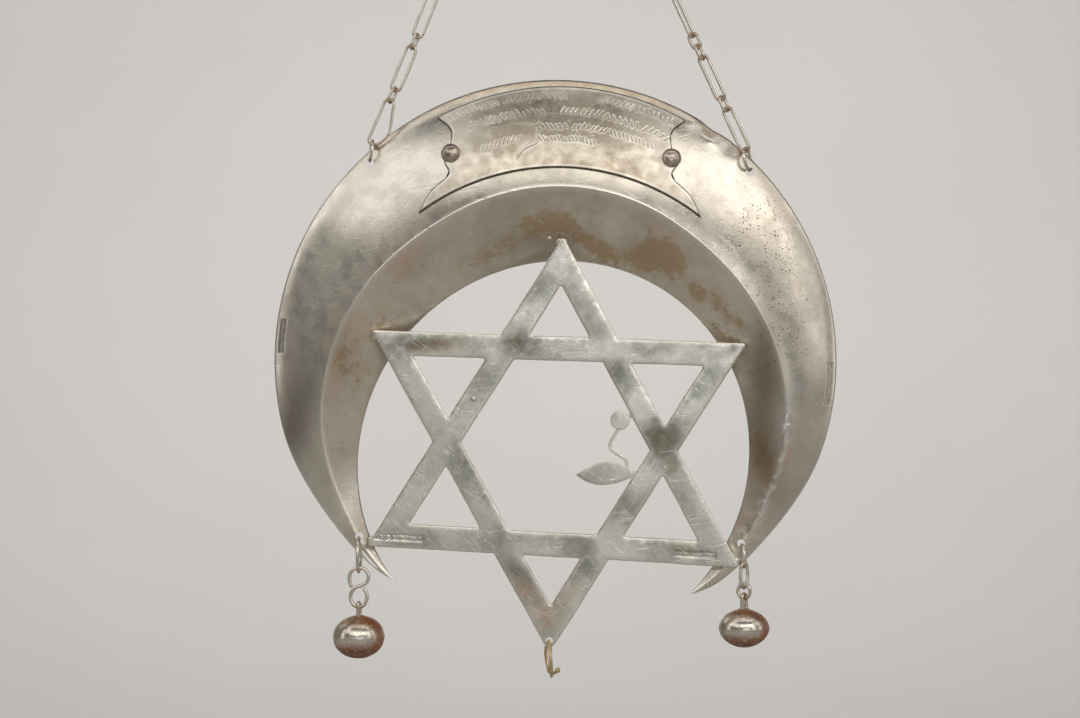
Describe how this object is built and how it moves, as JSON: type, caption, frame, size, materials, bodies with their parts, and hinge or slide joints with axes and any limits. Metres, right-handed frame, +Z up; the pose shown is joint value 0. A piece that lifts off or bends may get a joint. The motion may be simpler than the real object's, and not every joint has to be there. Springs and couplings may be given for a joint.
{
  "type": "torah shield",
  "caption": "Hanging silver Torah shield: domed crescent with horns down, flat six-pointed star between them, riveted engraved plate, wire chain and ball pendants.",
  "frame": {"origin": "inner top of the top ring, where it rests on the hook or nail that the shield hangs from", "axes": "+Z up, +X to the viewer's right, the decorated front faces -Y, and Y = 0 is the chain's plane"},
  "size_m": [0.1804, 0.0219, 0.3174],
  "materials": {
    "silver_sheet": "hand-worked silver sheet, soft polish, with brown tarnish in the hollows, fine scratches and pits",
    "star_silver": "flat silver plate, satin, darker than the crescent, with bright filed edges and cloudy tarnish",
    "dark_silver": "dark polished rivet heads",
    "silver_wire": "drawn silver wire, worn bright where links rub",
    "ball_silver": "polished hollow balls with warm tarnish",
    "golden_wire": "wire with golden tarnish"
  },
  "bodies": {
    "root": {"crescent": "silver_sheet", "cartouche_plate": "silver_sheet", "star": "star_silver", "openwork_spray": "star_silver", "rivet_left": "dark_silver", "rivet_right": "dark_silver", "top_ring": "silver_wire", "hanging_ring_left": "silver_wire", "hanging_ring_right": "silver_wire", "chain_left_long_1": "silver_wire", "chain_left_long_2": "silver_wire", "chain_left_long_3": "silver_wire", "chain_left_long_4": "silver_wire", "chain_left_long_5": "silver_wire", "chain_left_long_6": "silver_wire", "chain_left_long_7": "silver_wire", "chain_left_long_8": "silver_wire", "chain_left_small_1": "silver_wire", "chain_left_small_2": "silver_wire", "chain_left_small_3": "silver_wire", "chain_left_small_4": "silver_wire", "chain_left_small_5": "silver_wire", "chain_left_small_6": "silver_wire", "chain_left_small_7": "silver_wire", "chain_left_small_8": "silver_wire", "chain_right_long_1": "silver_wire", "chain_right_long_2": "silver_wire", "chain_right_long_3": "silver_wire", "chain_right_long_4": "silver_wire", "chain_right_long_5": "silver_wire", "chain_right_long_6": "silver_wire", "chain_right_long_7": "silver_wire", "chain_right_long_8": "silver_wire", "chain_right_small_1": "silver_wire", "chain_right_small_2": "silver_wire", "chain_right_small_3": "silver_wire", "chain_right_small_4": "silver_wire", "chain_right_small_5": "silver_wire", "chain_right_small_6": "silver_wire", "chain_right_small_7": "silver_wire", "chain_right_small_8": "silver_wire", "chain_right_small_9": "silver_wire", "chain_right_small_10": "silver_wire", "pendant_left_ring": "silver_wire", "pendant_left_hook": "silver_wire", "pendant_right_ring": "silver_wire", "pendant_right_oval_link": "silver_wire", "pendant_right_round_link": "silver_wire", "pendant_left_ball": "ball_silver", "pendant_right_ball": "ball_silver", "foot_ring": "golden_wire"}
  },
  "joints": []
}
